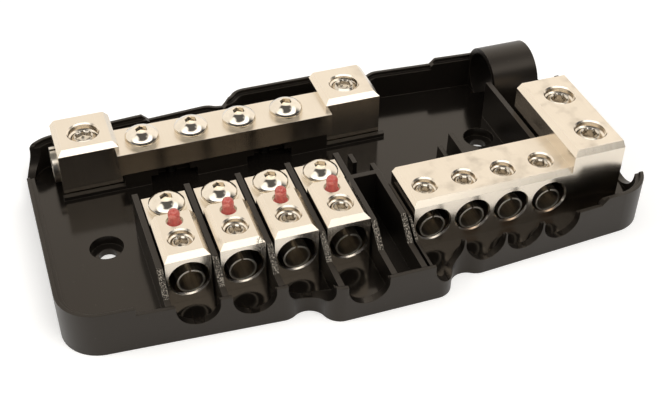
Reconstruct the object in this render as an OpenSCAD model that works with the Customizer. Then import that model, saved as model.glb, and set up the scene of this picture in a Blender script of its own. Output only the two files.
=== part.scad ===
// Power distribution block: one supply bar, four fused outputs with lamps,
// one ground block, in a moulded tray with cable notches.
// Millimetres, +Z up, origin at the bottom centre of the tray.

/* [Tray] */
// Length over the outer walls
tray_l = 157;        // [156:0.5:163]
// Depth over the wider middle lobe
tray_d = 86.6;       // [86:0.2:92]
// Reach of the end lobes from the middle line: front
front_reach = 35.5;  // [35.2:0.1:36.5]
// Reach of the left lobe to the rear
rear_reach_l = 38.2; // [38:0.1:38.8]
// Reach of the right lobe to the rear
rear_reach_r = 36.6; // [36.4:0.1:37.6]
// Radius of the four outer corners
corner_r = 10;       // [8:0.5:11]
// Thickness of the side walls
wall_t = 2;          // [1.6:0.1:2.2]
// Height of the floor's top face over the table
floor_z = 4.5;       // [4.2:0.1:6]
// Thickness of the moulded floor
floor_t = 2.2;       // [1.8:0.1:2.6]
// Rim height beside the cable notches
rim_low = 11.1;      // [10.4:0.1:12]
// Rim height at the ends
rim_high = 13.1;     // [12.4:0.1:14]
// Rim height at the rear right, beside the tunnel
rim_top = 14.8;      // [14.2:0.1:15.6]
// Width and depth of the inner step that takes a cover
step_w = 0.9;        // [0.6:0.1:1.1]
// Thickness of the partitions
part_t = 1.5;        // [1.2:0.1:1.6]

/* [Output terminals] */
// Distance between neighbouring terminals
out_pitch = 13.6;    // [13.4:0.1:14]
// Width of a terminal
out_w = 11.3;        // [10.8:0.1:11.5]
// Length of a terminal, front to rear
out_l = 27;          // [26.4:0.1:28]
// Height of every block that stands on the floor
block_h = 14.7;      // [14.4:0.1:16]
// Top edge chamfer
chamfer = 1.35;      // [0.8:0.05:1.6]
// How far the fuse seats lie below the tops
seat_drop = 2.7;     // [2.2:0.1:3.2]
// Cable bore of an output
out_bore_d = 9.8;    // [9:0.1:10.2]
// Height of the cable bores over the floor
bore_h = 7.1;        // [6.9:0.05:7.3]
// Depth of the cable bores
bore_len = 11;       // [10:0.5:11.5]

/* [Supply bar] */
// Distance between the fuse screws of the rail and of the terminals
fuse_span = 30;      // [29.6:0.1:31]
// Width of the rail
rail_w = 12;         // [11:0.1:12.4]
// Thickness of the rail
rail_t = 6.6;        // [6.2:0.1:7.4]
// Width of the raised end blocks
end_w = 16.1;        // [15:0.1:17]
// Depth of the raised end blocks
end_len = 15.4;      // [14.8:0.1:15.5]
// Cable bore of the supply
main_bore_d = 10.6;  // [9.6:0.1:10.8]

/* [Ground block] */
// Distance between neighbouring ground bores
gnd_pitch = 11;      // [10.8:0.1:11.2]
// Cable bore of a ground lead
gnd_bore_d = 9.3;    // [8.6:0.1:9.5]
// Depth of the bar, front to rear
gnd_d = 15.9;        // [15.5:0.1:16.4]
// Height the arm rises above the bar
arm_rise = 5.3;      // [4.5:0.1:6]
// Width of the arm
arm_w = 14.6;        // [14:0.1:14.8]
// Length of the arm, front to rear
arm_len = 33.6;      // [33:0.1:34.4]
// Large bores in the arm's side
arm_bore_d = 12;     // [11:0.1:12.4]

/* [Screws and lamps] */
// Small set screw (M6)
set_d = 6;           // [5:0.5:6]
// Large set screw (M8)
big_set_d = 8;       // [7:0.5:8]
// Running gap between a screw and its thread, each side
thread_gap = 0.05;   // [0.03:0.01:0.08]
// Fuse screw (M5)
fuse_d = 5;          // [4:0.5:5]
// Head diameter of the fuse screws
fuse_head_d = 9.3;   // [8.5:0.1:10]
// Head height of the fuse screws
fuse_head_h = 3.05;  // [2.4:0.05:3.3]
// Wall of the slit reducer sleeves
sleeve_t = 0.42;     // [0.3:0.02:0.5]
// Lamp diameter
lamp_d = 3;          // [2.6:0.1:3]
// Diameter of the through mounting holes
mount_d = 4.5;       // [3.5:0.1:5.5]

/* [Output] */
// Sub-part to draw

/* [Hidden] */
$fn = 64;
e = 0.01;                                   // overlap that keeps cuts clean
seat_gap = 0.3;                             // gap round a block in its bay

// Heights
top_z = floor_z + block_h;                  // tops of the terminals and the ground bar
seat_z = top_z - seat_drop;                 // fuse seats: terminals and rail
bore_z = floor_z + bore_h;                  // axis of every cable bore
rail_z = seat_z - rail_t;                   // underside of the rail
wall_top = seat_z - 0.1;                    // tops of the partitions

// Outputs
out_x0 = -46.65;
out_y = -28.4;                              // front faces of the terminals
function out_x(i) = out_x0 + out_pitch * (i - 1);
function split_x(i) = out_x(i) - out_pitch / 2;   // partition left of terminal i
set_y = 6.7;                                // set screw behind the front face
lamp_y = 13.1;
step_y = 16.2;                              // where the fuse seat begins
fuse_y = 22.15;
fix_y = 16.8;
fix_head_d = 5.2;
fix_grip = 3.4; // of a fixing screw in the metal above it

// Supply bar
rail_y = out_y + fuse_y + fuse_span;        // fuse screws of the rail
rail_front = rail_y - 5.7;
end_front = rail_front + 2.4;
end_x1 = -69.65;                            // left face of the left end block
end_x2 = 4.95;                              // left face of the centre block
end_y = end_front + end_len / 2;            // supply cable axis
main_z = floor_z + 6.2;
rail_fix_x = [out_x(1) + out_pitch / 2, out_x(3) + out_pitch / 2];

// Ground block
gnd_x = 11.45;                              // left face
gnd_y = -28.8;                              // front face
gnd_x1 = gnd_x + 5.4;                       // first bore
arm_x = gnd_x + 44.4;                       // left face of the arm
arm_top = top_z + arm_rise;
arm_z = floor_z + 7.6;                      // axis of the arm's bores
arm_ys = [gnd_y + 8.2, gnd_y + 25.2];
arm_cx = arm_x + 8.7;                       // set screws of the arm
gnd_fixes = [[gnd_x1 + gnd_pitch / 2, gnd_y + 13.6], [arm_cx - 2, (arm_ys[0] + arm_ys[1]) / 2]];

// Tray outline, quarter by quarter: every arc touches the next one.
// A quarter q is [side in X, side in Y, reach of its lobe, place of its waist]
mid_r = 5;                                  // round of the middle lobe
waist_r = 4.5;                              // hollow of the waists
lobe_r = 5;                                 // round beside the waists
quarters = [[1, 1, rear_reach_r, 22], [1, -1, front_reach, 22],
            [-1, -1, front_reach, 20.6], [-1, 1, rear_reach_l, 20.6]];
function waist_c(q) = [q[3], q[2] + 1.4 + waist_r];
function mid_c(q) = [q[3] - sqrt(pow(mid_r + waist_r, 2) - pow(waist_c(q)[1] - tray_d / 2 + mid_r, 2)),
                     tray_d / 2 - mid_r];
function lobe_c(q) = [q[3] + sqrt(pow(lobe_r + waist_r, 2) - pow(3.5 + waist_r, 2)), q[2] + 2.9 - lobe_r];
function corner_c(q) = [tray_l / 2 - corner_r, q[2] - corner_r];
function lean(q) =                          // slant of the long sides: a line that touches both arcs
    let (d = corner_c(q) - lobe_c(q)) atan2(-d[1], d[0]) + asin((lobe_r - corner_r) / norm(d));

// Cable notches
notch_w = 10.7;                             // outputs and grounds
notch_r = notch_w / 2;
arm_notch_r = 7.2;
lip_r = 1.1;                                // rounded lips of the notches in the end walls
end_notch_r = 6.6;
tunnel_r = 9.4;
tunnel_y = 27.4;
tunnel_x1 = 56.6;
tunnel_x2 = 70.6;

mounts = [[-62.75, -3], [48.25, 9.7]];
mount_head_d = mount_d + 4.3;

// Screws
set_top = top_z - 1.25;                     // top of a small set screw
set_len = 3.8;
arm_set_len = 5;
arm_set_top = arm_z + arm_bore_d / 2 + 0.3 + arm_set_len;
drill_bevel = 0.5;                          // left by the drill round a bore's flat bottom
sleeve_gap = 0.06;                          // under a sleeve, at the bottom of its bore
out_sleeve_d = out_bore_d - 2.86;
gnd_sleeve_d = gnd_bore_d - 2.4;
main_sleeve_d = main_bore_d - 0.8;
lie = [18, -9, 2, 5];                       // how far each output sleeve has rolled, degrees
sup_set_len = 2.6;
sup_set_tops = [main_z + main_bore_d / 2 - 0.6 + sup_set_len, main_z + main_bore_d / 2 + 0.1 + sup_set_len];
fuse_len = 6;
washer_t = 1;
washer_d = 10;
rail_washer_d = 9.5;

// Colours of the stand-in finishes
plastic = "#26221f";
nickel = "#d9cbb5";
steel = "#c9c5bd";
dark = "#8f8a80";
red = "#c8202a";

module at(x, y, z) { translate([x, y, z]) children(); }

// Bar whose front outline is drawn in X/Z, from y0 to y1
module along_y(y0, y1) { translate([0, y1, 0]) rotate([90, 0, 0]) linear_extrude(y1 - y0) children(); }

// Bar whose side outline is drawn in Y/Z, from x0 to x1
module along_x(x0, x1) { translate([x0, 0, 0]) rotate([90, 0, 90]) linear_extrude(x1 - x0) children(); }

// Rectangle with cut-off top corners: a left, b right
module gable(x0, x1, z0, z1, a, b) {
    polygon([[x0, z0], [x1, z0], [x1, z1 - b], [x1 - b, z1], [x0 + a, z1], [x0, z1 - a]]);
}

// ---------------------------------------------------------------- tray
// Points of one quarter where its arcs meet, drawn in by g, from the middle to the end
function quarter(q, g) =
    [[mid_c(q)[0], tray_d / 2 - g],
     mid_c(q) + (mid_r - g) * (waist_c(q) - mid_c(q)) / norm(waist_c(q) - mid_c(q)),
     lobe_c(q) + (lobe_r - g) * (waist_c(q) - lobe_c(q)) / norm(waist_c(q) - lobe_c(q)),
     lobe_c(q) + (lobe_r - g) * [sin(lean(q)), cos(lean(q))],
     corner_c(q) + (corner_r - g) * [sin(lean(q)), cos(lean(q))],
     [tray_l / 2 - g, corner_c(q)[1]]];

// Outline of the tray, drawn in by g
module outline(g = 0) {
    difference() {
        union() {
            polygon([for (k = [0:3]) let (q = quarters[k], points = quarter(q, g))
                     for (i = [0:5]) let (p = points[k % 2 == 0 ? i : 5 - i]) [q[0] * p[0], q[1] * p[1]]]);
            for (q = quarters) scale([q[0], q[1]]) {
                translate(mid_c(q)) circle(mid_r - g);
                translate(lobe_c(q)) circle(lobe_r - g);
                translate(corner_c(q)) circle(corner_r - g);
            }
        }
        for (q = quarters) scale([q[0], q[1]]) translate(waist_c(q)) circle(waist_r + g + 2 * e);
    }
}

// Wall with its inner step, kept between x0..x1 and y0..y1. Where low0 or low1 is given, its rim
// slopes down to that height at x0 or x1
module wall(h, x0, x1, y0, y1, low0 = 0, low1 = 0) {
    run0 = low0 > 0 ? h - low0 : 0;
    run1 = low1 > 0 ? h - low1 : 0;
    intersection() {
        difference() {
            linear_extrude(h) outline();
            at(0, 0, -e) linear_extrude(h + 1) outline(wall_t);
            at(0, 0, h - 1) linear_extrude(2) outline(step_w);
        }
        along_y(y0, y1) polygon([[x0, -1], [x1, -1], [x1, h - run1], [x1 - run1, h + e],
                                 [x0 + run0, h + e], [x0, h - run0]]);
    }
}

// U-shaped notch for a cable that runs along Y, w wide, its bottom on the floor
module notch_y(x, r, y0, y1) {
    along_y(y0, y1) {
        translate([x, floor_z + r]) circle(r);
        translate([x - r, floor_z + r]) square([2 * r, 20]);
    }
}

// The same in a wall across X, with rounded lips at the rim
module notch_x(y, z, r, x0, x1) {
    along_x(x0, x1) {
        translate([y, z]) circle(r);
        translate([y - r, z]) square([2 * r, 20]);
        difference() {
            translate([y - r - lip_r, rim_high - lip_r]) square([2 * (r + lip_r), 20]);
            for (side = [-1, 1]) translate([y + side * (r + lip_r), rim_high - lip_r]) circle(lip_r);
        }
    }
}

// Upright partition with a ramp down to the rim at its front end
module partition(x, y1, t = part_t, top = wall_top) {
    along_x(x - t / 2, x + t / 2)
        polygon([[-tray_d / 2 + 1, floor_z - e], [y1, floor_z - e], [y1, top], [out_y + 0.8, top],
                 [out_y - 4.7, rim_low], [-tray_d / 2 + 1, rim_low]]);
}

module mount_boss(p) { at(p[0], p[1], 0) cylinder(d = mount_head_d + 3, h = floor_z - 0.5); }

module mount_hole(p) {
    at(p[0], p[1], -1) cylinder(d = mount_d, h = floor_z + 2);
    at(p[0], p[1], floor_z - 2.6) cylinder(d = mount_head_d, h = 4);
}

module tray() {
    split = [for (i = [1:5]) split_x(i)];
    gnd_wall = gnd_x - 2.6;                 // partition left of the ground block
    color(plastic) difference() {
        union() {
            // floor, with the hollow under it
            at(0, 0, floor_z - floor_t) linear_extrude(floor_t) outline(wall_t - 0.2);
            // walls, zone by zone
            wall(rim_high, -tray_l / 2 - 1, -61.2, -tray_d / 2 - 1, 0);
            wall(rim_low, -61.2, 61.8, -tray_d / 2 - 1, 0);
            wall(rim_high, 61.8, tray_l / 2 + 1, -tray_d / 2 - 1, 0, low0 = rim_low);
            wall(rim_high, -tray_l / 2 - 1, -41.9, 0, tray_d / 2 + 1, low1 = rim_low);
            wall(rim_low, -41.9, -20.4, 0, tray_d / 2 + 1);
            wall(rim_high, -20.4, 44.1, 0, tray_d / 2 + 1, low0 = rim_low);
            wall(rim_top, 44.1, tunnel_x2, 0, tray_d / 2 + 1, low0 = rim_high);
            wall(rim_high, tunnel_x2, tray_l / 2 + 1, 0, tray_d / 2 + 1);
            // partitions and the pocket beside the fourth terminal
            intersection() {
                union() {
                    for (i = [0:4]) partition(split[i], 1.3);
                    partition(gnd_wall, -8.9);
                    partition(gnd_x - 0.8, -14, 0.7, wall_top - 1.2);
                    at(split[4], -10.4, floor_z - e) cube([gnd_wall - split[4], part_t, wall_top - floor_z + e]);
                }
                at(0, 0, 0) linear_extrude(30) outline(wall_t / 2);
            }
            // small ribs behind the pocket and behind the ground bar
            at(5.4, -0.4, floor_z - e) cube([1.2, 4, 8.6]);
            at(gnd_wall + 0.9, -8.6, floor_z - e) cube([1.2, 6.6, 8.6]);
            at(split[4], -8.9, floor_z - e) cube([gnd_wall + 0.9 - split[4], 3, 4]);
            for (rib = [[32.2, 3.4, 9.6], [35.4, 3.8, 13]]) along_x(rib[0], rib[0] + 1.2)
                polygon([[-11, floor_z - e], [rib[1] + 0.3, floor_z - e], [rib[1], rib[2]], [-11, rib[2]]]);
            // wall between the ground arm and the cable way
            at(arm_x - 2.1, -11, floor_z - e) cube([part_t, tunnel_y - tunnel_r + 12, wall_top - floor_z + e]);
            // beam under the rail and lips in front of the end blocks
            at(end_x1 + end_w + seat_gap, rail_front + 0.6, floor_z - e)
                cube([end_x2 - end_x1 - end_w - 2 * seat_gap, rail_w - 1.2, rail_z - floor_z + e]);
            for (x = [end_x1, end_x2]) at(x - 0.4, end_front - 1.7, floor_z - e) cube([end_w + 1.6, 1.4, 1.2 + e]);
            // cable tunnel
            intersection() {
                along_x(tunnel_x1, tunnel_x2) {
                    translate([tunnel_y, bore_z]) circle(tunnel_r);
                    translate([tunnel_y - tunnel_r, floor_z - e]) square([2 * tunnel_r, bore_z - floor_z]);
                }
                linear_extrude(30) outline();
            }
            for (p = mounts) mount_boss(p);
        }
        // recesses in the beam
        for (x = [out_x(1) + 7, out_x(3) + 7]) along_y(rail_front, rail_front + 5) {
            translate([x - 6.5, floor_z]) square([13, rail_z - floor_z - 2.6]);
            translate([x - 4.5, floor_z]) square([9, rail_z - floor_z - 0.8]);
        }
        // cable notches
        for (i = [1:4]) notch_y(out_x(i), notch_r, -tray_d / 2 - 1, out_y - 3);
        for (i = [1:4]) notch_y(gnd_x1 + gnd_pitch * (i - 1), notch_r - 0.1, -tray_d / 2 - 1, gnd_y - 1);
        for (y = arm_ys) notch_x(y, arm_z, arm_notch_r, arm_x + arm_w + 1, tray_l / 2 + 1);
        notch_x(tunnel_y, bore_z, end_notch_r, tunnel_x2 - e, tray_l / 2 + 1);
        notch_x(end_y, bore_z, end_notch_r, -tray_l / 2 - 1, end_x1 - 1);
        along_x(tunnel_x1 - 1, tunnel_x2 + 1) {
            intersection() {
                translate([tunnel_y, bore_z]) circle(tunnel_r - 1.6);
                translate([tunnel_y - tunnel_r, floor_z]) square([2 * tunnel_r, 2 * tunnel_r]);
            }
        }
        for (p = mounts) mount_hole(p);
        // ways for the fixing screws
        for (i = [1:4]) at(out_x(i), out_y + fix_y, -1) cylinder(d = 3.4, h = floor_z + 2);
        for (p = gnd_fixes) at(p[0], p[1], -1) cylinder(d = 3.4, h = floor_z + 2);
        for (x = rail_fix_x) at(x, rail_y, -1) cylinder(d = 3.4, h = rail_z + 2);
    }
}

// ---------------------------------------------------------------- metal blocks
// Cable bore along +Y from the face at y = 0, with a small lead-in
module bore(d, l) {
    rotate([-90, 0, 0]) {
        at(0, 0, -1) cylinder(d = d, h = l + 1 - drill_bevel);
        at(0, 0, l - drill_bevel) cylinder(d1 = d, d2 = d - 2 * drill_bevel, h = drill_bevel);
        at(0, 0, -e) cylinder(d1 = d + 0.7, d2 = d, h = 0.35);
    }
}

// Threaded hole downwards from z = 0, with a small countersink
module tapped(d, l) {
    at(0, 0, -l) cylinder(d = d + 2 * thread_gap, h = l + 1);
    at(0, 0, -0.4) cylinder(d1 = d + 2 * thread_gap, d2 = d + 0.8 + 2 * thread_gap, h = 0.4 + e);
}

module fixing_hole() { at(0, 0, -1) cylinder(d = 3.1, h = fix_grip + 1.2); }

module terminal(i) {
    color(nickel) at(out_x(i), out_y, floor_z) difference() {
        intersection() {
            along_y(0, out_l) gable(-out_w / 2, out_w / 2, 0, block_h, chamfer, chamfer);
            along_x(-out_w, out_w)
                polygon([[0, 0], [out_l, 0], [out_l, block_h - seat_drop], [step_y, block_h - seat_drop],
                         [step_y, block_h], [chamfer, block_h], [0, block_h - chamfer]]);
        }
        at(0, 0, bore_h) bore(out_bore_d, bore_len);
        at(0, set_y, block_h) tapped(set_d, block_h - bore_h);
        at(0, lamp_y, block_h - 1.6) cylinder(d = lamp_d + 1.3, h = 3);
        at(0, lamp_y, block_h - 6) cylinder(d = lamp_d + 0.2, h = 7);
        at(0, fuse_y, block_h - seat_drop) tapped(fuse_d, 7);
        at(0, fix_y, 0) fixing_hole();
    }
}

module end_block(x) {
    intersection() {
        along_y(end_front, end_front + end_len) gable(x, x + end_w, floor_z, top_z, chamfer, chamfer);
        along_x(x - 1, x + end_w + 1)
            gable(end_front, end_front + end_len, floor_z, top_z, chamfer, 0);
    }
}

module supply_bar() {
    color(nickel) difference() {
        union() {
            at(end_x1 + end_w - 1, rail_front, rail_z) cube([end_x2 - end_x1 - end_w + 2, rail_w, rail_t]);
            end_block(end_x1);
            end_block(end_x2);
        }
        at(end_x1, end_y, main_z) rotate(-90) bore(main_bore_d, end_w - 3.2);
        at(end_x2 + end_w, end_y, main_z) rotate(90) bore(main_bore_d, end_w - 3.2);
        for (x = [end_x1, end_x2]) at(x + end_w / 2, end_y, top_z) tapped(big_set_d, top_z - main_z);
        for (i = [1:4]) at(out_x(i), rail_y, seat_z) {
            at(0, 0, -rail_t - 1) cylinder(d = fuse_d + 2 * thread_gap, h = rail_t + 2);
        }
        for (x = rail_fix_x) at(x, rail_y, rail_z) fixing_hole();
    }
}

module ground_block() {
    color(nickel) difference() {
        union() {
            intersection() {
                along_x(gnd_x, arm_x + 2) gable(gnd_y, gnd_y + gnd_d, floor_z, top_z, chamfer, 0);
                along_y(gnd_y - 1, gnd_y + gnd_d + 1) gable(gnd_x, arm_x + 2, floor_z, top_z, chamfer - 0.3, 0);
            }
            intersection() {
                along_y(gnd_y, gnd_y + arm_len) gable(arm_x, arm_x + arm_w, floor_z, arm_top, chamfer, 0);
                along_x(arm_x, arm_x + arm_w) gable(gnd_y, gnd_y + arm_len, floor_z, arm_top, chamfer, 0);
            }
        }
        for (i = [0:3]) at(gnd_x1 + gnd_pitch * i, gnd_y, bore_z) {
            bore(gnd_bore_d, bore_len);
            at(0, set_y, top_z - bore_z) tapped(set_d, top_z - bore_z);
        }
        for (y = arm_ys) {
            at(arm_x + arm_w, y, arm_z) rotate(90) bore(arm_bore_d, arm_w - 2.6);
            at(arm_cx, y, arm_top) tapped(big_set_d, arm_top - arm_z);
        }
        for (p = gnd_fixes) at(p[0], p[1], floor_z) fixing_hole();
    }
}

// ---------------------------------------------------------------- small pieces
// Socket set screw hanging down from z = 0: diameter d, length l, key s across the flats
module set_screw(d, l, s) {
    color(steel) difference() {
        rotate_extrude() polygon([[0, -l], [d / 2 - 0.8, -l], [d / 2, -l + 0.8], [d / 2, -0.4],
                                  [d / 2 - 0.4, 0], [0, 0]]);
        at(0, 0, -l * 0.55) cylinder(d = s / cos(30), h = l, $fn = 6);
    }
}

// Button-head screw with its seat at z = 0
module fuse_screw(l) {
    rise = fuse_head_h - 0.45;
    ball = (pow(fuse_head_d / 2, 2) + pow(rise, 2)) / (2 * rise);
    color(steel) difference() {
        union() {
            at(0, 0, 0) cylinder(d = fuse_head_d, h = 0.45);
            intersection() {
                at(0, 0, fuse_head_h - ball) sphere(ball, $fn = 96);
                at(0, 0, 0.45 - e) cylinder(d = fuse_head_d, h = fuse_head_h);
            }
            at(0, 0, -l) cylinder(d = fuse_d, h = l + e);
        }
        at(0, 0, fuse_head_h - 1.7) cylinder(d = 3 / cos(30), h = 3, $fn = 6);
        at(0, 0, fuse_head_h - 0.45) cylinder(d = 4.4, h = 1);
    }
}

// Slit sleeve along +Y from y = 0, slit on top
module sleeve(d, t, l, slit) {
    color(dark) difference() {
        rotate([-90, 0, 0]) cylinder(d = d, h = l);
        rotate([-90, 0, 0]) at(0, 0, -1) cylinder(d = d - 2 * t, h = l + 2);
        at(-slit / 2, -1, 0) cube([slit, l + 2, d]);
    }
}

// Sleeve lying on the bottom of a bore of diameter b, rolled by a degrees
module laid_sleeve(d, b, a, l) {
    f = (b - d) / 2 - sleeve_gap;
    at(f * sin(a), 0.4, -f * cos(a)) sleeve(d, sleeve_t, l, 0.5);
}

module lamp(i) {
    color(red) at(out_x(i), out_y + lamp_y, top_z - 1.6) {
        cylinder(d = lamp_d + 0.8, h = 1);
        cylinder(d = lamp_d, h = 5.3 - lamp_d / 2);
        at(0, 0, 5.3 - lamp_d / 2) sphere(lamp_d / 2, $fn = 48);
    }
}

module washers(y, d) {
    color(steel) for (i = [1:4]) at(out_x(i), y, seat_z) difference() {
        cylinder(d = d, h = washer_t);
        at(0, 0, -1) cylinder(d = fuse_d + 0.3, h = 3);
    }
}

// Pan-head fixing screw, its head under the tray's floor, l long above the head
module fixing(p, l) {
    color(dark) at(p[0], p[1], floor_z - floor_t) difference() {
        union() {
            at(0, 0, -1.8) cylinder(d = fix_head_d, h = 1.8);
            cylinder(d = 3, h = l);
        }
        for (a = [0, 90]) rotate(a) at(-1.6, -0.35, -2.8) cube([3.2, 0.7, 1.9]);
    }
}

module out_set(i) { at(out_x(i), out_y + set_y, set_top) set_screw(set_d, set_len, 3); }
module gnd_set(i) { at(gnd_x1 + gnd_pitch * (i - 1), gnd_y + set_y, set_top) set_screw(set_d, set_len, 3); }
module sup_set(x, z) { at(x + end_w / 2, end_y, z) set_screw(big_set_d, sup_set_len, 4); }
module arm_set(y) { at(arm_cx, y, arm_set_top) set_screw(big_set_d, arm_set_len, 4); }
module rail_fuse(i) { at(out_x(i), rail_y, seat_z + washer_t) fuse_screw(fuse_len + 1); }
module out_fuse(i) { at(out_x(i), out_y + fuse_y, seat_z + washer_t) fuse_screw(fuse_len + 1); }
module out_sleeve(i) { at(out_x(i), out_y, bore_z) laid_sleeve(out_sleeve_d, out_bore_d, lie[i - 1], bore_len - 1); }
module gnd_sleeve(i) {
    at(gnd_x1 + gnd_pitch * (i - 1), gnd_y, bore_z) laid_sleeve(gnd_sleeve_d, gnd_bore_d, 0, bore_len - 1);
}
module supply_sleeve() {
    f = (main_bore_d - main_sleeve_d) / 2 - sleeve_gap;
    at(end_x1 - 1.5, end_y, main_z - f) rotate(-90) sleeve(main_sleeve_d, 2 * sleeve_t, end_w - 3, 0.9);
}
module terminal_fixings() { for (i = [1:4]) fixing([out_x(i), out_y + fix_y], floor_t + fix_grip); }
module ground_fixings() { for (p = gnd_fixes) fixing(p, floor_t + fix_grip); }
module rail_fixings() { for (x = rail_fix_x) fixing([x, rail_y], rail_z - floor_z + floor_t + fix_grip); }

// ---------------------------------------------------------------- drawing
tray();
supply_bar();
terminal(1);  // terminal_1
terminal(2);  // terminal_2
terminal(3);  // terminal_3
terminal(4);  // terminal_4
ground_block();
lamp(1);  // lamp_1
lamp(2);  // lamp_2
lamp(3);  // lamp_3
lamp(4);  // lamp_4
out_set(1);  // output_set_screw_1
out_set(2);  // output_set_screw_2
out_set(3);  // output_set_screw_3
out_set(4);  // output_set_screw_4
gnd_set(1);  // ground_set_screw_1
gnd_set(2);  // ground_set_screw_2
gnd_set(3);  // ground_set_screw_3
gnd_set(4);  // ground_set_screw_4
sup_set(end_x1, sup_set_tops[0]);  // supply_set_screw_1
sup_set(end_x2, sup_set_tops[1]);  // supply_set_screw_2
arm_set(arm_ys[0]);  // arm_set_screw_1
arm_set(arm_ys[1]);  // arm_set_screw_2
rail_fuse(1);  // rail_fuse_screw_1
rail_fuse(2);  // rail_fuse_screw_2
rail_fuse(3);  // rail_fuse_screw_3
rail_fuse(4);  // rail_fuse_screw_4
out_fuse(1);  // output_fuse_screw_1
out_fuse(2);  // output_fuse_screw_2
out_fuse(3);  // output_fuse_screw_3
out_fuse(4);  // output_fuse_screw_4
washers(out_y + fuse_y, washer_d);  // output_washers
washers(rail_y, rail_washer_d);  // rail_washers
out_sleeve(1);  // output_sleeve_1
out_sleeve(2);  // output_sleeve_2
out_sleeve(3);  // output_sleeve_3
out_sleeve(4);  // output_sleeve_4
gnd_sleeve(1);  // ground_sleeve_1
gnd_sleeve(2);  // ground_sleeve_2
gnd_sleeve(3);  // ground_sleeve_3
gnd_sleeve(4);  // ground_sleeve_4
supply_sleeve();
terminal_fixings();
ground_fixings();
rail_fixings();
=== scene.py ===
"""Looks of a fused power distribution block: moulded tray, plated brass blocks, screws, sleeves and lamps."""
import math

import bmesh
import bpy
from mathutils import Matrix, Vector


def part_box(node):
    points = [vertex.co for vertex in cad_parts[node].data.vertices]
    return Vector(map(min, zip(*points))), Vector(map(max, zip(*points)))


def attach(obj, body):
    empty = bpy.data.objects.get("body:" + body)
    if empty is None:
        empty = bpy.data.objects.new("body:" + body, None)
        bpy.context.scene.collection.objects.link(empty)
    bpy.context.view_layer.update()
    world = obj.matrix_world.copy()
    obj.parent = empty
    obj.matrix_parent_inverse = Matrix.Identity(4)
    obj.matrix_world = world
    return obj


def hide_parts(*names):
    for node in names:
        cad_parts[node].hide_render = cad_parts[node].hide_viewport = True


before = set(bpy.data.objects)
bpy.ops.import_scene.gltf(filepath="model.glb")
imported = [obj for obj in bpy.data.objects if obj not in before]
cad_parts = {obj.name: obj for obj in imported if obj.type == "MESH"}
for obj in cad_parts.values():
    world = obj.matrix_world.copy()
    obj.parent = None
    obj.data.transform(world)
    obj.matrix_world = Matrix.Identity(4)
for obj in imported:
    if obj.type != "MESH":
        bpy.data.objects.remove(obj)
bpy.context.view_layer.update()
MM = 0.001


# ---------------------------------------------------------------- tray
# One injection moulding in black ABS: outer wall with a stepped rim, partitions, cable notches and ribs.
# The floor came off a polished core and mirrors the blocks, the outside is duller, and the ramps at the
# partitions' ends are rough where the mould was spark-eroded, with a painted sparkle of light specks.
def linear(hex_colour):
    """Linear RGBA of an sRGB hex colour."""
    parts = [int(hex_colour[i:i + 2], 16) / 255 for i in (1, 3, 5)]
    return [c / 12.92 if c <= 0.04045 else ((c + 0.055) / 1.055) ** 2.4 for c in parts] + [1.0]


def add(tree, kind, inputs=None, **settings):
    """Adds a node. Each input is a source to link or a constant; settings are the node's own properties."""
    node = tree.nodes.new("ShaderNode" + kind)
    for name, value in settings.items():
        setattr(node, name, value)
    for socket, value in (inputs or {}).items():
        if isinstance(value, bpy.types.NodeSocket):
            tree.links.new(value, node.inputs[socket])
        else:
            node.inputs[socket].default_value = value
    return node


def new_material(name):
    """An empty node material: its tree and its output node."""
    material = bpy.data.materials.new(name)
    material.use_nodes = True
    material.node_tree.nodes.clear()
    return material, material.node_tree, add(material.node_tree, "OutputMaterial")


def rounded_edges_and_highlight(tree, radius):
    """A normal that rounds the edges, and a mask of where it leaves the flat one, which the callers paint
    lighter as an edge highlight.
    """
    rounded = add(tree, "Bevel", {"Radius": radius}, samples=4)
    flat = add(tree, "NewGeometry").outputs["True Normal"]
    bend = add(tree, "VectorMath", {0: rounded.outputs[0], 1: flat}, operation="DOT_PRODUCT")
    edge = add(tree, "MapRange", {"Value": bend.outputs["Value"], "From Min": 0.995, "From Max": 0.9})
    return rounded, edge


def repaint(names, material):
    """Gives CAD nodes a finish."""
    for name in names:
        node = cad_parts[name]
        node.data.materials.clear()
        node.data.materials.append(material)


abs_plastic, tree, out = new_material("black_abs_moulded")
EDGE_ROUND = 0.25 * MM        # the mould's corners
GRAIN = 1 / (0.5 * MM)        # grain of the outside, drawn coarse enough to show
SPARK = 1 / (0.3 * MM)        # grain of the spark-eroded ramps, drawn coarse enough to show
RAMP_Y = -27 * MM             # the ramps lie in front of this
RAMP_Z = 10.5 * MM            # and above this
FLOOR_Z = 4.8 * MM            # the polished floor lies below this
place = add(tree, "TexCoord").outputs["Object"]
axes = add(tree, "SeparateXYZ", {"Vector": place})
facing = add(tree, "SeparateXYZ", {"Vector": add(tree, "NewGeometry").outputs["True Normal"]})
flow = add(tree, "TexNoise", {"Vector": place, "Scale": 1 / (18 * MM), "Detail": 3.0})
grain = add(tree, "TexNoise", {"Vector": place, "Scale": GRAIN, "Detail": 4.0, "Roughness": 0.6})
spark = add(tree, "TexNoise", {"Vector": place, "Scale": SPARK, "Detail": 2.0})
up = add(tree, "MapRange", {"Value": facing.outputs["Z"], "From Min": 0.35, "From Max": 0.45})
front = add(tree, "MapRange", {"Value": facing.outputs["Y"], "From Min": -0.3, "From Max": -0.4})
ramp = add(tree, "Math", {0: up.outputs[0], 1: front.outputs[0]}, operation="MULTIPLY")
near = add(tree, "MapRange", {"Value": axes.outputs["Y"],
                              "From Min": RAMP_Y + 0.5 * MM, "From Max": RAMP_Y - 0.5 * MM})
ramp = add(tree, "Math", {0: ramp.outputs[0], 1: near.outputs[0]}, operation="MULTIPLY")
high = add(tree, "MapRange", {"Value": axes.outputs["Z"],
                              "From Min": RAMP_Z - 0.5 * MM, "From Max": RAMP_Z + 0.5 * MM})
ramp = add(tree, "Math", {0: ramp.outputs[0], 1: high.outputs[0]}, operation="MULTIPLY")
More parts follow.
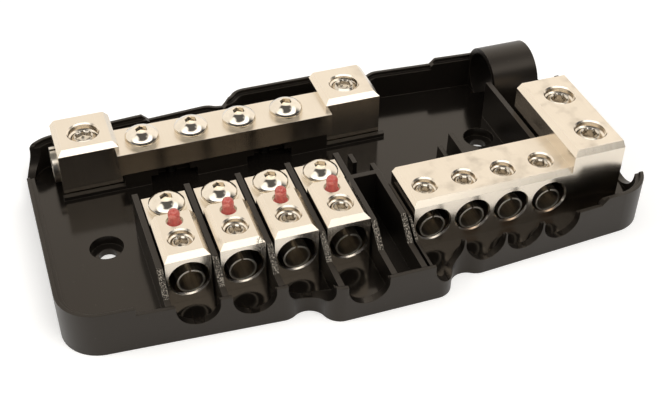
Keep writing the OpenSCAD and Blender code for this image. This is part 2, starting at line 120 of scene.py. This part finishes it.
level = add(tree, "MapRange", {"Value": facing.outputs["Z"], "From Min": 0.95, "From Max": 0.99})
low = add(tree, "MapRange", {"Value": axes.outputs["Z"],
                             "From Min": FLOOR_Z + 0.2 * MM, "From Max": FLOOR_Z - 0.2 * MM})
core = add(tree, "Math", {0: level.outputs[0], 1: low.outputs[0]}, operation="MULTIPLY")
rounded, edge = rounded_edges_and_highlight(tree, EDGE_ROUND)    # painted edge highlight: the edges a little lighter
dust = add(tree, "TexVoronoi", {"Vector": place, "Scale": 1 / (2.6 * MM), "Randomness": 1.0})
speck = add(tree, "MapRange", {"Value": dust.outputs["Distance"], "From Min": 0.06, "From Max": 0.035})
tone = add(tree, "MixRGB", {"Fac": flow.outputs["Fac"],
                            "Color1": linear("#0f0d0b"), "Color2": linear("#161310")})
# painted edge highlight along the mould's edges
tone = add(tree, "MixRGB", {"Fac": edge.outputs[0], "Color1": tone.outputs[0], "Color2": linear("#2c2823")})
# painted glints: pale specks painted on the ramps, standing in for their sparkle
painted_glints = add(tree, "MapRange", {"Value": spark.outputs["Fac"], "From Min": 0.5, "From Max": 0.64})
painted_glints = add(tree, "Math", {0: painted_glints.outputs[0], 1: ramp.outputs[0]}, operation="MULTIPLY")
tone = add(tree, "MixRGB", {"Fac": painted_glints.outputs[0], "Color1": tone.outputs[0], "Color2": linear("#b3aa9c")})
few = add(tree, "Math", {0: speck.outputs[0], 1: 0.25}, operation="MULTIPLY")
tone = add(tree, "MixRGB", {"Fac": few.outputs[0], "Color1": tone.outputs[0], "Color2": linear("#6d665c")})
dull = add(tree, "MapRange", {"Value": flow.outputs["Fac"], "To Min": 0.3, "To Max": 0.4})
dull = add(tree, "MixRGB", {"Fac": core.outputs[0], "Color1": dull.outputs[0],
                            "Color2": (0.13, 0.13, 0.13, 1)})
dull = add(tree, "MixRGB", {"Fac": ramp.outputs[0], "Color1": dull.outputs[0],
                            "Color2": (0.6, 0.6, 0.6, 1)})
outer_grain = add(tree, "MapRange", {"Value": core.outputs[0], "To Min": 0.12, "To Max": 0.02})
skin = add(tree, "Bump", {"Height": grain.outputs["Fac"], "Normal": rounded.outputs[0],
                          "Strength": outer_grain.outputs[0], "Distance": 0.05 * MM})
rough_ramp = add(tree, "Bump", {"Height": spark.outputs["Fac"], "Normal": skin.outputs[0],
                                "Strength": ramp.outputs[0], "Distance": 0.25 * MM})
shader = add(tree, "BsdfPrincipled", {"Base Color": tone.outputs[0], "Roughness": dull.outputs[0],
                                      "Normal": rough_ramp.outputs[0], "IOR": 1.54,
                                      "Specular IOR Level": 0.42, "Specular Tint": linear("#fff1e2")})
tree.links.new(shader.outputs[0], out.inputs["Surface"])
repaint(["tray"], abs_plastic)

# ---------------------------------------------------------------- blocks
# The supply bar, the four terminals and the ground block are milled from brass bar, then nickel plated.
# The plating keeps the fine lines of the cutter, gleams warm on the flat tops and white on the chamfers.
nickel, tree, out = new_material("satin_nickel_on_brass")
LINES = 0.4 * MM              # spacing of the cutter's lines, drawn coarse enough to show
place = add(tree, "TexCoord").outputs["Object"]
axes = add(tree, "SeparateXYZ", {"Vector": place})
facing = add(tree, "SeparateXYZ", {"Vector": add(tree, "NewGeometry").outputs["True Normal"]})
drawn = add(tree, "Mapping", {"Vector": place, "Scale": (1 / LINES, 1 / (14 * MM), 1 / (14 * MM))})
lines = add(tree, "TexNoise", {"Vector": drawn.outputs[0], "Scale": 1.0, "Detail": 3.0, "Roughness": 0.55})
cloud = add(tree, "TexNoise", {"Vector": place, "Scale": 1 / (9 * MM), "Detail": 3.0, "Roughness": 0.5})
smear = add(tree, "TexNoise", {"Vector": place, "Scale": 1 / (5 * MM), "Detail": 3.0, "Roughness": 0.55})
pit = add(tree, "TexNoise", {"Vector": place, "Scale": 1 / (0.35 * MM), "Detail": 2.0})
rounded, edge = rounded_edges_and_highlight(tree, 0.07 * MM)
# handling marks, grey and soft, on the flat tops of the ground block
flat = add(tree, "MapRange", {"Value": facing.outputs["Z"], "From Min": 0.9, "From Max": 0.99})
bar_x = add(tree, "MapRange", {"Value": axes.outputs["X"], "From Min": 14 * MM, "From Max": 22 * MM})
marks = add(tree, "MapRange", {"Value": smear.outputs["Fac"], "From Min": 0.5, "From Max": 0.72})
marks = add(tree, "Math", {0: marks.outputs[0], 1: bar_x.outputs[0]}, operation="MULTIPLY")
marks = add(tree, "Math", {0: marks.outputs[0], 1: flat.outputs[0]}, operation="MULTIPLY")
marks = add(tree, "Math", {0: marks.outputs[0], 1: 0.22}, operation="MULTIPLY")
tone = add(tree, "MixRGB", {"Fac": cloud.outputs["Fac"],
                            "Color1": linear("#ded3c3"), "Color2": linear("#f3eadc")})
streak = add(tree, "MixRGB", {"Fac": lines.outputs["Fac"],
                              "Color1": linear("#e0d5c5"), "Color2": linear("#f1e8da")})
tone = add(tree, "MixRGB", {"Fac": 0.5, "Color1": tone.outputs[0], "Color2": streak.outputs[0]})
tone = add(tree, "MixRGB", {"Fac": marks.outputs[0], "Color1": tone.outputs[0], "Color2": linear("#a39b90")})
# painted edge highlight: the edges a little lighter
tone = add(tree, "MixRGB", {"Fac": edge.outputs[0], "Color1": tone.outputs[0], "Color2": linear("#f4ede2")})
# painted reflection: a brass-brown tint at the lower edges of three ground bores
GROUND_FRONT = -28.8 * MM
for bore_x in (27.85, 38.85, 49.85):
    bore_reflection = add(tree, "VectorMath", {0: place, 1: (bore_x * MM, GROUND_FRONT, 6.9 * MM)}, operation="DISTANCE")
    bore_reflection = add(tree, "MapRange", {"Value": bore_reflection.outputs["Value"], "From Min": 3.2 * MM, "From Max": 1.6 * MM})
    bore_reflection = add(tree, "Math", {0: bore_reflection.outputs[0], 1: smear.outputs["Fac"]}, operation="MULTIPLY")
    tone = add(tree, "MixRGB", {"Fac": bore_reflection.outputs[0], "Color1": tone.outputs[0],
                                "Color2": linear("#a8783e")})
# a burr where the second terminal's corner was knocked
KNOCKED = (-28.0 * MM, -28.0 * MM, 17.4 * MM)
knock = add(tree, "VectorMath", {0: place, 1: KNOCKED}, operation="DISTANCE")
knock = add(tree, "MapRange", {"Value": knock.outputs["Value"], "From Min": 2.0 * MM, "From Max": 0.9 * MM})
chips = add(tree, "TexNoise", {"Vector": place, "Scale": 1 / (0.5 * MM), "Detail": 2.0})
chips = add(tree, "MapRange", {"Value": chips.outputs["Fac"], "From Min": 0.5, "From Max": 0.6})
knock = add(tree, "Math", {0: knock.outputs[0], 1: chips.outputs[0]}, operation="MULTIPLY")
dull = add(tree, "MapRange", {"Value": lines.outputs["Fac"], "From Min": 0.3, "From Max": 0.7,
                              "To Min": 0.17, "To Max": 0.22})
milled = add(tree, "Math", {0: flat.outputs[0], 1: 0.12}, operation="MULTIPLY")
dull = add(tree, "Math", {0: dull.outputs[0], 1: milled.outputs[0]}, operation="ADD")
dull = add(tree, "Math", {0: dull.outputs[0], 1: marks.outputs[0]}, operation="ADD")
skin = add(tree, "Bump", {"Height": lines.outputs["Fac"], "Normal": rounded.outputs[0],
                          "Strength": 0.1, "Distance": 0.03 * MM})
skin = add(tree, "Bump", {"Height": pit.outputs["Fac"], "Normal": skin.outputs[0],
                          "Strength": 0.05, "Distance": 0.03 * MM})
skin = add(tree, "Bump", {"Height": knock.outputs[0], "Normal": skin.outputs[0],
                          "Strength": 0.9, "Distance": 0.25 * MM})
shader = add(tree, "BsdfPrincipled", {"Base Color": tone.outputs[0], "Roughness": dull.outputs[0],
                                      "Normal": skin.outputs[0], "Metallic": 1.0})
tree.links.new(shader.outputs[0], out.inputs["Surface"])
repaint(["supply_bar", "ground_block"] + [f"terminal_{i}" for i in range(1, 5)], nickel)

# ---------------------------------------------------------------- set screws and their threads
# Socket set screws in steel, plain plated, sunk a little below the tops. Above each one the last turns of
# the tapped thread show. The screws are turned, their sockets broached.
COLUMNS = 48                  # points round a turned piece


def circle(radius, z):
    """A ring of points on a circle."""
    turns = [2 * math.pi * j / COLUMNS for j in range(COLUMNS)]
    return [Vector((radius * math.cos(turn), radius * math.sin(turn), z)) for turn in turns]


def hexagon(flats, z):
    """A ring of points on a hexagon that measures flats across."""
    ring = []
    for j in range(COLUMNS):
        turn = 2 * math.pi * j / COLUMNS
        off = (turn + math.pi / 6) % (math.pi / 3) - math.pi / 6
        radius = flats / 2 / math.cos(off)
        ring.append(Vector((radius * math.cos(turn), radius * math.sin(turn), z)))
    return ring


def skin_rings(bm, rings, at):
    """A closed solid through rings of points, with a point cap at either end."""
    loops = [[bm.verts.new(p + at) for p in ring] for ring in rings]
    for a, b in zip(loops, loops[1:]):
        for j in range(COLUMNS):
            k = (j + 1) % COLUMNS
            bm.faces.new((a[j], a[k], b[k], b[j]))
    for ring, loop in ((rings[0], loops[0]), (rings[-1], loops[-1])):
        tip = bm.verts.new(Vector((0, 0, ring[0].z)) + at)
        for j in range(COLUMNS):
            bm.faces.new((loop[j], loop[(j + 1) % COLUMNS], tip))


FLANK = 0.577                 # slope of a 60 degree thread's flank


def helix(bm, at, z0, z1, pitch, base_r, crest_r):
    """A closed helical ridge: base_r is sunk in the wall or core, crest_r is its crest."""
    steps = int((z1 - z0) / pitch * COLUMNS)
    crest_w = 0.06 * MM                                # half the crest's width
    base_w = crest_w + abs(crest_r - base_r) * FLANK   # half the ridge's width at its foot
    sections = []
    for s in range(steps + 1):
        turn = 2 * math.pi * s / COLUMNS
        fade = min(1.0, s / 8 + 0.05, (steps - s) / 8 + 0.05)
        z = z0 + pitch * s / COLUMNS
        crest = base_r + (crest_r - base_r) * fade
        profile = ((base_r, -base_w * fade), (crest, -crest_w * fade), (crest, crest_w * fade),
                   (base_r, base_w * fade))
        sections.append([bm.verts.new(at + Vector((r * math.cos(turn), r * math.sin(turn), z + h)))
                         for r, h in profile])
    for a, b in zip(sections, sections[1:]):
        for k in range(4):
            bm.faces.new((a[k], a[(k + 1) % 4], b[(k + 1) % 4], b[k]))
    bm.faces.new(sections[0])
    bm.faces.new(sections[-1][::-1])


def upright_axis(low, high):
    """The point at height 0 on the upright axis of a box."""
    return Vector(((low.x + high.x) / 2, (low.y + high.y) / 2, 0))


def piece(name, bm, material, body, replaced=()):
    """Turns a mesh into a named piece that rides on a body."""
    bmesh.ops.recalc_face_normals(bm, faces=bm.faces)
    mesh = bpy.data.meshes.new(name)
    bm.to_mesh(mesh)
    bm.free()
    mesh.polygons.foreach_set("use_smooth", [True] * len(mesh.polygons))
    mesh.set_sharp_from_angle(angle=math.radians(38))
    mesh.materials.append(material)
    obj = bpy.data.objects.new(name, mesh)
    bpy.context.scene.collection.objects.link(obj)
    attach(obj, body)
    if replaced:
        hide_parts(*replaced)
    return obj


set_steel, tree, out = new_material("plated_steel_turned")
place = add(tree, "TexCoord").outputs["Object"]
stain = add(tree, "TexNoise", {"Vector": place, "Scale": 1 / (2.5 * MM), "Detail": 4.0})
tone = add(tree, "MixRGB", {"Fac": stain.outputs["Fac"],
                            "Color1": linear("#b8b0a4"), "Color2": linear("#efe8dd")})
dull = add(tree, "MapRange", {"Value": stain.outputs["Fac"], "To Min": 0.12, "To Max": 0.3})
turned = add(tree, "TexNoise", {"Vector": place, "Scale": 1 / (0.3 * MM), "Detail": 2.0})
skin = add(tree, "Bump", {"Height": turned.outputs["Fac"], "Strength": 0.1, "Distance": 0.03 * MM})
shader = add(tree, "BsdfPrincipled", {"Base Color": tone.outputs[0], "Roughness": dull.outputs[0],
                                      "Normal": skin.outputs[0], "Metallic": 1.0})
tree.links.new(shader.outputs[0], out.inputs["Surface"])

# each row: how many, thread pitch, key across flats and height of the face it is screwed in from, in mm
SET_SCREWS = {"output": (4, 1.0, 3.0, 19.2), "ground": (4, 1.0, 3.0, 19.2),
              "supply": (2, 1.25, 4.0, 19.2), "arm": (2, 1.25, 4.0, 24.5)}
for row, i in [(row, i) for row in SET_SCREWS for i in range(1, SET_SCREWS[row][0] + 1)]:
    name = f"{row}_set_screw_{i}"
    pitch, key, face = (size * MM for size in SET_SCREWS[row][1:])
    low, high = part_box(name)
    centre = upright_axis(low, high)
    nominal = (high.x - low.x) / 2
    root = nominal - 0.45 * pitch
    top = high.z
    depth = 0.55 * (high.z - low.z)
    corner = key / 2 / math.cos(math.pi / 6)
    lip = corner + 0.22 * MM
    cone = root - lip
    bm = bmesh.new()
    skin_rings(bm, [circle(key * 0.2, top - depth - 0.25 * MM), hexagon(key, top - depth),
                    hexagon(key, top - 0.3 * MM), circle(corner + 0.12 * MM, top), circle(lip, top),
                    circle(root, top - cone), circle(root, low.z + 0.5 * MM),
                    circle(root - 0.5 * MM, low.z)], centre)
    helix(bm, centre, low.z + 0.6 * pitch, top - cone - 0.1 * MM, pitch,
          root - 0.05 * MM, nominal - 0.03 * MM)
    piece("threaded_" + name, bm, set_steel, name + "_body", [name])
    # the tapped hole's own thread, half a pitch off the screw's, in whole turns up to the countersink
    z0 = low.z + 1.1 * pitch
    z1 = z0 + pitch * int((face - 0.35 * MM - z0) / pitch)
    bm = bmesh.new()
    helix(bm, centre, z0, z1, pitch, nominal + 0.12 * MM, root + 0.08 * MM)
    piece(f"tapped_thread_{row}_{i}", bm, nickel, "block")

# ---------------------------------------------------------------- fuse screws and washers
# Button-head screws with hexagon sockets hold the fuses' tongues. Their heads are polished and nickel
# plated, so they mirror the whole room.
polished, tree, out = new_material("polished_nickel_plate")
place = add(tree, "TexCoord").outputs["Object"]
haze = add(tree, "TexNoise", {"Vector": place, "Scale": 1 / (1.8 * MM), "Detail": 3.0})
tone = add(tree, "MixRGB", {"Fac": haze.outputs["Fac"],
                            "Color1": linear("#dbd2c4"), "Color2": linear("#f2ebdf")})
dull = add(tree, "MapRange", {"Value": haze.outputs["Fac"], "To Min": 0.04, "To Max": 0.12})
wave = add(tree, "TexNoise", {"Vector": place, "Scale": 1 / (2.2 * MM), "Detail": 1.0})
skin = add(tree, "Bump", {"Height": wave.outputs["Fac"], "Strength": 0.25, "Distance": 0.12 * MM})
shader = add(tree, "BsdfPrincipled", {"Base Color": tone.outputs[0], "Roughness": dull.outputs[0],
                                      "Normal": skin.outputs[0], "Metallic": 1.0})
tree.links.new(shader.outputs[0], out.inputs["Surface"])

FUSE_KEY = 3 * MM             # across the socket's flats
SHANK_R = 2.5 * MM
SHANK = 7 * MM                # length below the head
CORE_R = SHANK_R - 0.3 * MM   # at the foot of the thread
PITCH = 0.8 * MM
CROWN_R = 1.95 * MM           # where the domed crown meets the socket's edge
RIM = 0.5 * MM                # height of the head's upright edge
for name in [f"{row}_fuse_screw_{i}" for row in ("rail", "output") for i in range(1, 5)]:
    low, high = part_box(name)
    centre = upright_axis(low, high)
    head_r = (high.x - low.x) / 2
    seat = low.z + SHANK
    tall = high.z - seat
    rings = [circle(FUSE_KEY * 0.15, high.z - 2.0 * MM), hexagon(FUSE_KEY, high.z - 1.75 * MM),
             hexagon(FUSE_KEY, high.z - 0.35 * MM)]
    dome = tall - RIM
    ball = (head_r ** 2 + dome ** 2) / (2 * dome)
    for k in range(13):
        r = CROWN_R + (head_r - 0.06 * MM - CROWN_R) * k / 12
        rings.append(circle(r, high.z - ball + math.sqrt(ball ** 2 - r ** 2)))
    rings += [circle(head_r, seat + RIM - 0.12 * MM), circle(head_r, seat + 0.15 * MM),
              circle(head_r - 0.15 * MM, seat), circle(CORE_R, seat), circle(CORE_R, low.z + 0.4 * MM),
              circle(CORE_R - 0.4 * MM, low.z)]
    bm = bmesh.new()
    skin_rings(bm, rings, centre)
    helix(bm, centre, low.z + 0.5 * MM, seat - 0.5 * MM, PITCH, CORE_R - 0.05 * MM, SHANK_R - 0.03 * MM)
    piece("button_head_" + name, bm, polished, name + "_body", [name])
repaint(["output_washers", "rail_washers"], polished)

# ---------------------------------------------------------------- sleeves
# Slit reducer sleeves rolled from brass strip and nickel plated. The rolling leaves faint streaks, and the
# plating is duller than the blocks' own.
sleeve_plate, tree, out = new_material("rolled_brass_plated")
place = add(tree, "TexCoord").outputs["Object"]
rolled = add(tree, "Mapping", {"Vector": place, "Scale": (1 / (0.5 * MM), 1 / (9 * MM), 1 / (0.5 * MM))})
streak = add(tree, "TexNoise", {"Vector": rolled.outputs[0], "Scale": 1.0, "Detail": 3.0})
tone = add(tree, "MixRGB", {"Fac": streak.outputs["Fac"],
                            "Color1": linear("#b3aca1"), "Color2": linear("#eee7db")})
rounded = add(tree, "Bevel", {"Radius": 0.15 * MM}, samples=4)
skin = add(tree, "Bump", {"Height": streak.outputs["Fac"], "Normal": rounded.outputs[0],
                          "Strength": 0.15, "Distance": 0.04 * MM})
shader = add(tree, "BsdfPrincipled", {"Base Color": tone.outputs[0], "Normal": skin.outputs[0],
                                      "Roughness": 0.3, "Metallic": 1.0})
tree.links.new(shader.outputs[0], out.inputs["Surface"])
repaint([f"{row}_sleeve_{i}" for row in ("output", "ground") for i in range(1, 5)], sleeve_plate)
repaint(["supply_sleeve"], sleeve_plate)

# ---------------------------------------------------------------- lamps
# 3 mm lamps in red tinted epoxy, cast over a lead frame and pushed into the terminals. The flange rests in
# the hole's countersink. The frame shows faintly through the epoxy.
epoxy, tree, out = new_material("red_tinted_epoxy")
place = add(tree, "TexCoord").outputs["Object"]
cast = add(tree, "TexNoise", {"Vector": place, "Scale": 1 / (1.2 * MM), "Detail": 2.0})
tone = add(tree, "MixRGB", {"Fac": cast.outputs["Fac"],
                            "Color1": linear("#e0524e"), "Color2": linear("#f08a7c")})
skin = add(tree, "Bump", {"Height": cast.outputs["Fac"], "Strength": 0.1, "Distance": 0.05 * MM})
shader = add(tree, "BsdfPrincipled", {"Base Color": tone.outputs[0], "Normal": skin.outputs[0],
                                      "Roughness": 0.12, "IOR": 1.53, "Transmission Weight": 0.4})
tree.links.new(shader.outputs[0], out.inputs["Surface"])
lead_steel, tree, out = new_material("tinned_lead_frame")
place = add(tree, "TexCoord").outputs["Object"]
tin = add(tree, "TexNoise", {"Vector": place, "Scale": 1 / (0.4 * MM)})
tone = add(tree, "MixRGB", {"Fac": tin.outputs["Fac"],
                            "Color1": linear("#a9a39a"), "Color2": linear("#d9d3c8")})
shader = add(tree, "BsdfPrincipled", {"Base Color": tone.outputs[0], "Metallic": 1.0, "Roughness": 0.3})
tree.links.new(shader.outputs[0], out.inputs["Surface"])
for i in range(1, 5):
    low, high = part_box(f"lamp_{i}")
    centre = upright_axis(low, high)
    flange_r = (high.x - low.x) / 2
    lamp_r = flange_r - 0.4 * MM
    rings = [circle(flange_r - 0.1 * MM, low.z), circle(flange_r, low.z + 0.1 * MM),
             circle(flange_r, low.z + 0.85 * MM), circle(flange_r - 0.15 * MM, low.z + 1.0 * MM),
             circle(lamp_r + 0.05 * MM, low.z + 1.02 * MM), circle(lamp_r, low.z + 1.1 * MM)]
    for k in range(10):
        turn = math.pi / 2 * k / 9.3
        rings.append(circle(lamp_r * math.cos(turn), high.z - lamp_r + lamp_r * math.sin(turn)))
    bm = bmesh.new()
    skin_rings(bm, rings, centre)
    lens = piece(f"lamp_lens_{i}", bm, epoxy, "block", [f"lamp_{i}"])
    lens.visible_glossy = False    # its image in the plating would read as a red stain
    bm = bmesh.new()
    # an anvil and a post, with the cup that holds the chip on the anvil
    for side, tall, wide in ((-0.55, 2.6, 0.5), (0.5, 2.2, 0.35)):
        post = Matrix.Translation(centre + Vector((side * MM, 0, low.z + tall / 2 * MM + 0.2 * MM)))
        shape = Matrix.Diagonal((wide * MM, 0.45 * MM, tall * MM, 1))
        bmesh.ops.create_cube(bm, size=1.0, matrix=post @ shape)
    cup = Matrix.Translation(centre + Vector((-0.3 * MM, 0, low.z + 2.9 * MM)))
    bmesh.ops.create_cone(bm, cap_ends=True, segments=24, radius1=0.45 * MM, radius2=0.62 * MM,
                          depth=0.5 * MM, matrix=cup)
    piece(f"lamp_leads_{i}", bm, lead_steel, "block")

# ---------------------------------------------------------------- fixing screws
# Cross-recess pan heads under the floor, black phosphated and oiled. They hold the blocks down.
phosphate, tree, out = new_material("black_phosphated_steel")
place = add(tree, "TexCoord").outputs["Object"]
crystals = add(tree, "TexNoise", {"Vector": place, "Scale": 1 / (0.4 * MM), "Detail": 3.0})
tone = add(tree, "MixRGB", {"Fac": crystals.outputs["Fac"],
                            "Color1": linear("#151413"), "Color2": linear("#33312e")})
rounded = add(tree, "Bevel", {"Radius": 0.2 * MM}, samples=4)
shader = add(tree, "BsdfPrincipled", {"Base Color": tone.outputs[0], "Normal": rounded.outputs[0],
                                      "Roughness": 0.42, "Metallic": 0.6})
tree.links.new(shader.outputs[0], out.inputs["Surface"])
repaint(["terminal_fixings", "ground_fixings", "rail_fixings"], phosphate)

# ---------------------------------------------------------------- stage, light and camera
# A pale matt table, soft light from above and in front, and the camera at the object's left front.
def looking_rays(tree):
    """The light path, and a mask of the camera, glossy and transmission rays."""
    path = add(tree, "LightPath")
    seen = add(tree, "Math", {0: path.outputs["Is Camera Ray"], 1: path.outputs["Is Glossy Ray"]},
               operation="MAXIMUM")
    seen = add(tree, "Math", {0: seen.outputs[0], 1: path.outputs["Is Transmission Ray"]},
               operation="MAXIMUM")
    return path, seen


table_paint, tree, out = new_material("pale_table")
path, seen = looking_rays(tree)
seen = add(tree, "Math", {0: seen.outputs[0], 1: path.outputs["Is Camera Ray"]}, operation="ADD")
matt = add(tree, "BsdfDiffuse", {"Color": linear("#f4f3f1")})
glow = add(tree, "Emission", {"Strength": seen.outputs[0], "Color": (0.15, 0.15, 0.15, 1)})
both = add(tree, "AddShader", {0: matt.outputs[0], 1: glow.outputs[0]})
tree.links.new(both.outputs[0], out.inputs["Surface"])
bm = bmesh.new()
bmesh.ops.create_grid(bm, x_segments=1, y_segments=1, size=6.0,
                      matrix=Matrix.Translation((0, 0, -0.1 * MM)))
mesh = bpy.data.meshes.new("table")
bm.to_mesh(mesh)
bm.free()
mesh.materials.append(table_paint)
table = bpy.data.objects.new("table", mesh)
bpy.context.scene.collection.objects.link(table)

world = bpy.data.worlds.new("studio")
bpy.context.scene.world = world
world.use_nodes = True
tree = world.node_tree
tree.nodes.clear()
out = add(tree, "OutputWorld")
path, seen = looking_rays(tree)
# what metal and plastic mirror: the white sweep behind, a patchy ceiling, and in front a dark room below
# a pale diffuser
look = add(tree, "SeparateXYZ", {"Vector": add(tree, "TexCoord").outputs["Generated"]})
behind = add(tree, "MapRange", {"Value": look.outputs["Y"], "From Min": -0.25, "From Max": 0.3},
             interpolation_type="SMOOTHSTEP")
overhead = add(tree, "MapRange", {"Value": look.outputs["Z"], "From Min": 0.84, "From Max": 0.92},
               interpolation_type="SMOOTHSTEP")
patches = add(tree, "TexNoise", {"Vector": add(tree, "TexCoord").outputs["Generated"],
                                 "Scale": 1.7, "Detail": 0.0})
patches = add(tree, "MapRange", {"Value": patches.outputs["Fac"], "From Min": 0.45, "From Max": 0.57})
ceiling = add(tree, "MixRGB", {"Fac": patches.outputs[0],
                               "Color1": (0.12, 0.115, 0.11, 1), "Color2": (1.5, 1.45, 1.38, 1)})
aside = add(tree, "MapRange", {"Value": look.outputs["X"], "From Min": 0.0, "From Max": 0.55})
sweep = add(tree, "MixRGB", {"Fac": aside.outputs[0],
                             "Color1": (1.12, 1.05, 0.95, 1), "Color2": (1.2, 1.12, 1.01, 1)})
diffuser = add(tree, "MapRange", {"Value": look.outputs["Z"], "From Min": 0.62, "From Max": 0.73},
               interpolation_type="SMOOTHSTEP")
mirrored = add(tree, "MixRGB", {"Fac": diffuser.outputs[0],
                                "Color1": (0.08, 0.08, 0.085, 1), "Color2": (2.1, 2.05, 1.95, 1)})
mirrored = add(tree, "MixRGB", {"Fac": behind.outputs[0],
                                "Color1": mirrored.outputs[0], "Color2": sweep.outputs[0]})
mirrored = add(tree, "MixRGB", {"Fac": overhead.outputs[0],
                                "Color1": mirrored.outputs[0], "Color2": ceiling.outputs[0]})
backdrop = add(tree, "MixRGB", {"Fac": path.outputs["Is Camera Ray"],
                                "Color1": mirrored.outputs[0], "Color2": (1, 1, 1, 1)})
room = add(tree, "Background", {"Color": (1, 1, 1, 1), "Strength": 0.5})
white = add(tree, "Background", {"Color": backdrop.outputs[0], "Strength": 1.0})
both = add(tree, "MixShader", {0: seen.outputs[0], 1: room.outputs[0], 2: white.outputs[0]})
tree.links.new(both.outputs[0], out.inputs["Surface"])

# both softboxes aim at the origin
for name, place, size, power in (("softbox_front", (0.125, -0.49, 0.81), 0.55, 4.2),
                                 ("softbox_left", (-0.8, 0.15, 0.6), 0.4, 2.2)):
    lamp = bpy.data.lights.new(name, "AREA")
    lamp.shape = "SQUARE"
    lamp.size = size
    lamp.energy = power
    lamp.color = (1.0, 0.98, 0.95)
    holder = bpy.data.objects.new(name, lamp)
    holder.location = place
    holder.visible_glossy = False
    holder.rotation_euler = (-Vector(place)).to_track_quat("-Z", "Y").to_euler()
    bpy.context.scene.collection.objects.link(holder)

LENS = 60.31
ROLL = math.radians(0.79)
eye = Vector((-0.08005, -0.2213, 0.1983))
forward = Vector((0.2592, 0.7175, -0.6465)).normalized()
right = forward.cross(Vector((0, 0, 1))).normalized()
above = right.cross(forward)
right, above = (right * math.cos(ROLL) + above * math.sin(ROLL),
                above * math.cos(ROLL) - right * math.sin(ROLL))
camera = bpy.data.cameras.new("camera")
camera.lens = LENS
camera.sensor_width = 36
camera.clip_start = 0.01
view = bpy.data.objects.new("camera", camera)
view.matrix_world = Matrix((right, above, -forward)).transposed().to_4x4()
view.location = eye
bpy.context.scene.collection.objects.link(view)
bpy.context.scene.camera = view
bpy.context.scene.view_settings.view_transform = "Standard"
